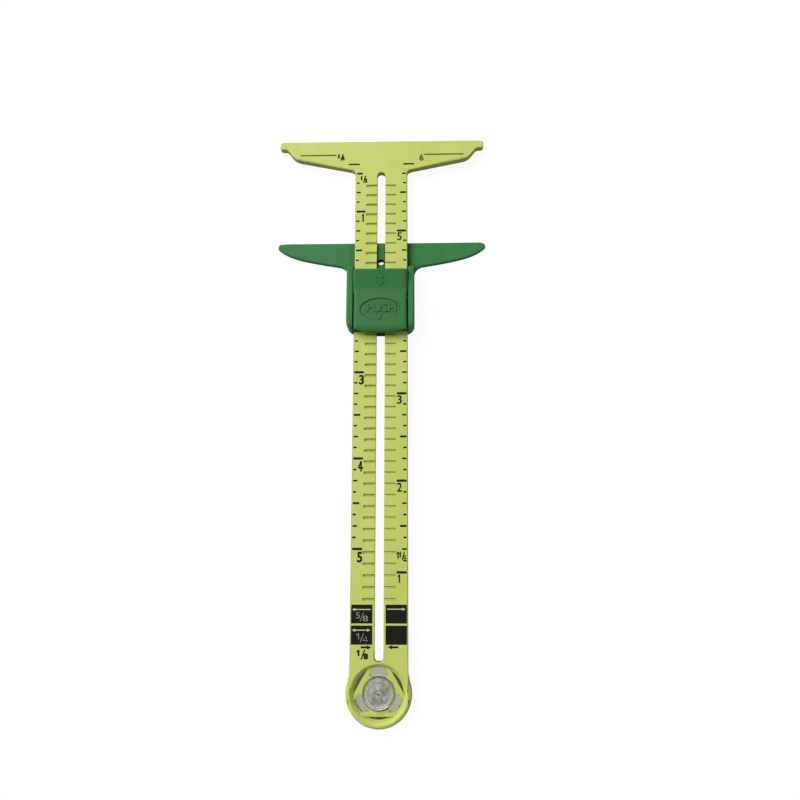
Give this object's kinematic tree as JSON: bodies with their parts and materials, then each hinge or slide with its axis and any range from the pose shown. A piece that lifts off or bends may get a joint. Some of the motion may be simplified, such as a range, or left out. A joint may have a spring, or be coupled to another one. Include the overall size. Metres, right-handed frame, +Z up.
{
  "type": "sewing gauge",
  "caption": "Flat slotted T ruler with a T slider that locks in notches and a push lever that frees it, for marking hems, seams and circles about a swivel button.",
  "frame": {"origin": "centre of the bounding box in X and Y, on the surface that the gauge lies on", "axes": "+X to the right of the printed face, +Y along the ruler towards its T head, +Z up out of the printed face"},
  "size_m": [0.064, 0.1727, 0.0077],
  "materials": {
    "ruler_plastic": "moulded yellow-green plastic with black printing",
    "slider_plastic": "moulded dark green plastic, satin",
    "lever_plastic": "moulded dark green plastic, satin",
    "spring_steel": "thin spring steel",
    "clear_plastic": "clear moulded plastic"
  },
  "bodies": {
    "ruler": {"ruler": "ruler_plastic"},
    "slider": {"slider_frame": "slider_plastic"},
    "lever": {"push_lever": "lever_plastic", "return_spring": "spring_steel"},
    "button": {"swivel_button": "clear_plastic"}
  },
  "joints": [
    {"name": "slider_slide", "type": "slide", "parent": "ruler", "child": "slider", "axis": [0, -1, 0], "range_m": [-0.02223, 0.09208]},
    {"name": "lever_push", "type": "hinge", "parent": "slider", "child": "lever", "pos_m": [0, 0.03427, 0.0051], "axis": [1, 0, 0], "range_deg": [0, 5.5], "stiffness_Nm_per_rad": 0.05, "springref_deg": -2.86, "deforming": ["return_spring"]},
    {"name": "button_swivel", "type": "hinge", "parent": "ruler", "child": "button", "pos_m": [0, -0.07725, 0], "axis": [0, 0, 1], "continuous": true}
  ]
}
